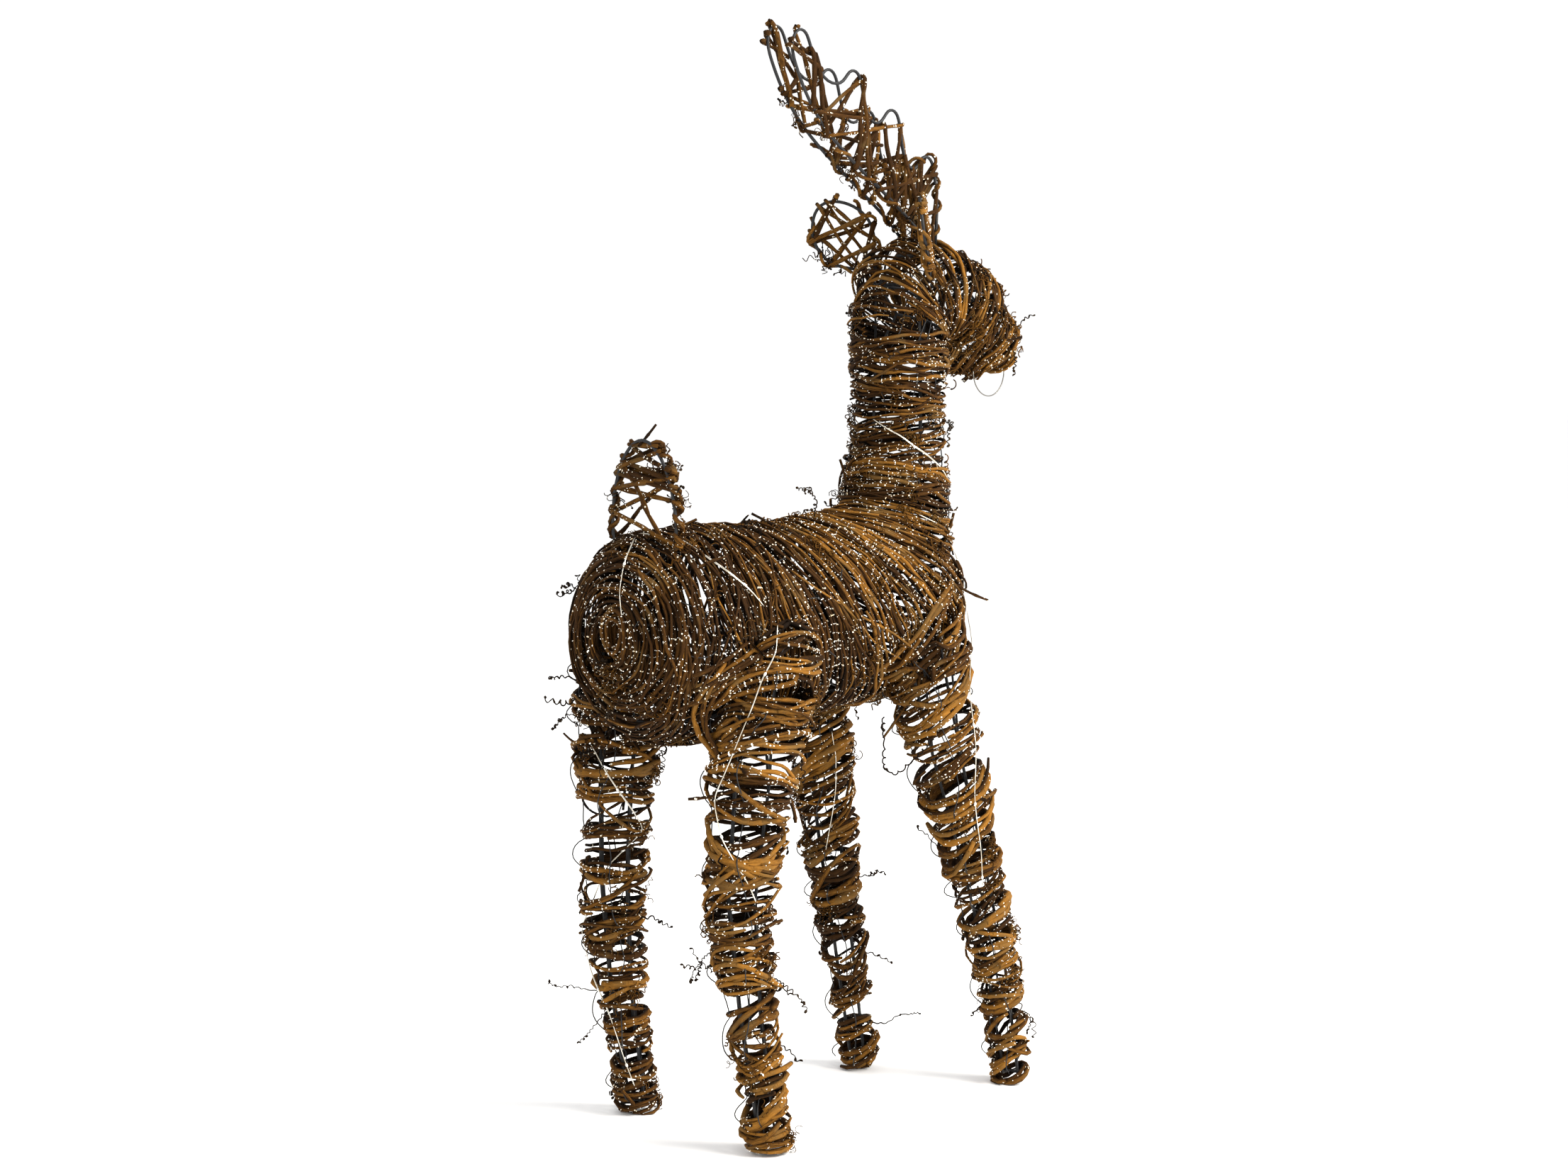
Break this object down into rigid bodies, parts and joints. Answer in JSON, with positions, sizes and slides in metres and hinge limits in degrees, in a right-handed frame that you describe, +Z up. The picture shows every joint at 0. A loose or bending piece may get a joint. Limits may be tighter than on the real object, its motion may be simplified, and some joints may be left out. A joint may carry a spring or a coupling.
{
  "type": "light-up reindeer",
  "caption": "Standing reindeer wound from brown vine over a black wire frame, with flat antlers, leaf ears, an upright tail and a thin light wire.",
  "frame": {"origin": "on the floor under the feet, in the middle of the figure's box", "axes": "+Z up, +X the way the nose points, +Y the figure's left side"},
  "size_m": [0.522, 0.2556, 1.0137],
  "materials": {
    "black_iron": "black coated wire, satin",
    "brown_vine": "dry brown vine twigs, matt, dusted with pale glitter",
    "dark_vine": "thin dark vine strand, matt",
    "silver_wire": "bright thin lacquered light wire"
  },
  "bodies": {
    "root": {"wire_frame": "black_iron", "antler_left_wire": "black_iron", "antler_right_wire": "black_iron", "ear_left_wire": "black_iron", "ear_right_wire": "black_iron", "tail_wire": "black_iron", "body_winding": "brown_vine", "neck_winding": "brown_vine", "head_winding": "brown_vine", "leg_hind_right": "brown_vine", "leg_hind_left": "brown_vine", "leg_front_right": "brown_vine", "leg_front_left": "brown_vine", "antler_left_vine": "dark_vine", "antler_right_vine": "dark_vine", "ear_left_vine": "dark_vine", "ear_right_vine": "dark_vine", "tail_vine": "dark_vine", "light_wire_rear": "silver_wire", "light_wire_front": "silver_wire"}
  },
  "joints": []
}
